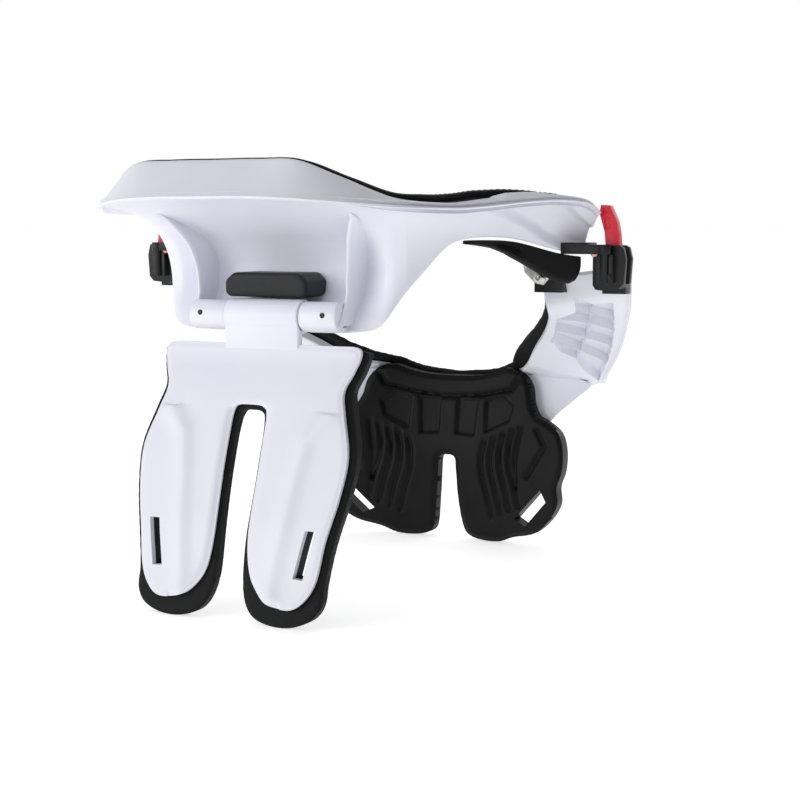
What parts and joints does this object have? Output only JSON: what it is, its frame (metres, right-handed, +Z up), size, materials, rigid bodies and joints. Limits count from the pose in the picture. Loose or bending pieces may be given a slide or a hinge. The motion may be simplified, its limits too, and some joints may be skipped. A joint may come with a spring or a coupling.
{
  "type": "motocross neck brace",
  "caption": "White and black motocross neck brace with a hinged two-legged back strut, a padded chest plate and red shoulder latches.",
  "frame": {"origin": "middle of the brace's outline on the ground that it stands on", "axes": "+Z up, +Y the wearer's front, +X the wearer's right; the brace is mirrored about X = 0"},
  "size_m": [0.302, 0.3066, 0.2302],
  "materials": {
    "white_nylon": "satin moulded nylon",
    "foam": "matt moulded foam",
    "black_rubber": "matt rubber",
    "black_nylon": "satin black nylon",
    "red_nylon": "satin red nylon",
    "steel": "bright steel"
  },
  "bodies": {
    "rear": {"rear_shell": "white_nylon", "rear_collar_pad": "foam", "rear_lower_pad": "foam", "hinge_stop": "black_rubber", "hinge_pin": "steel", "side_pad_right": "foam", "side_pad_left": "foam", "latch_base_right": "black_nylon", "latch_base_left": "black_nylon"},
    "strut": {"strut_plate": "white_nylon", "strut_pad": "foam"},
    "front": {"front_shell": "white_nylon", "front_collar_pad": "foam", "chest_pad": "foam", "latch_frame_right": "black_nylon", "latch_frame_left": "black_nylon", "arm_block_right": "black_nylon", "arm_block_left": "black_nylon", "arm_bracket_right": "steel", "arm_bracket_left": "steel", "bracket_screw_right": "steel", "bracket_screw_left": "steel"},
    "lever_right": {"latch_lever_right": "red_nylon"},
    "lever_left": {"latch_lever_left": "red_nylon"}
  },
  "joints": [
    {"name": "strut_fold", "type": "hinge", "parent": "rear", "child": "strut", "pos_m": [0, -0.08834, 0.148], "axis": [1, 0, 0], "range_deg": [0, 60]},
    {"name": "collar_opening", "type": "hinge", "parent": "rear", "child": "front", "pos_m": [-0.141, 0.01467, 0.17], "axis": [0, 0, 1], "range_deg": [0, 60]},
    {"name": "lever_right_flip", "type": "hinge", "parent": "front", "child": "lever_right", "pos_m": [0.143, 0.02467, 0.1675], "axis": [0, 1, 0], "range_deg": [0, 95]},
    {"name": "lever_left_flip", "type": "hinge", "parent": "front", "child": "lever_left", "pos_m": [-0.143, 0.02467, 0.1675], "axis": [0, -1, 0], "range_deg": [0, 95]}
  ]
}
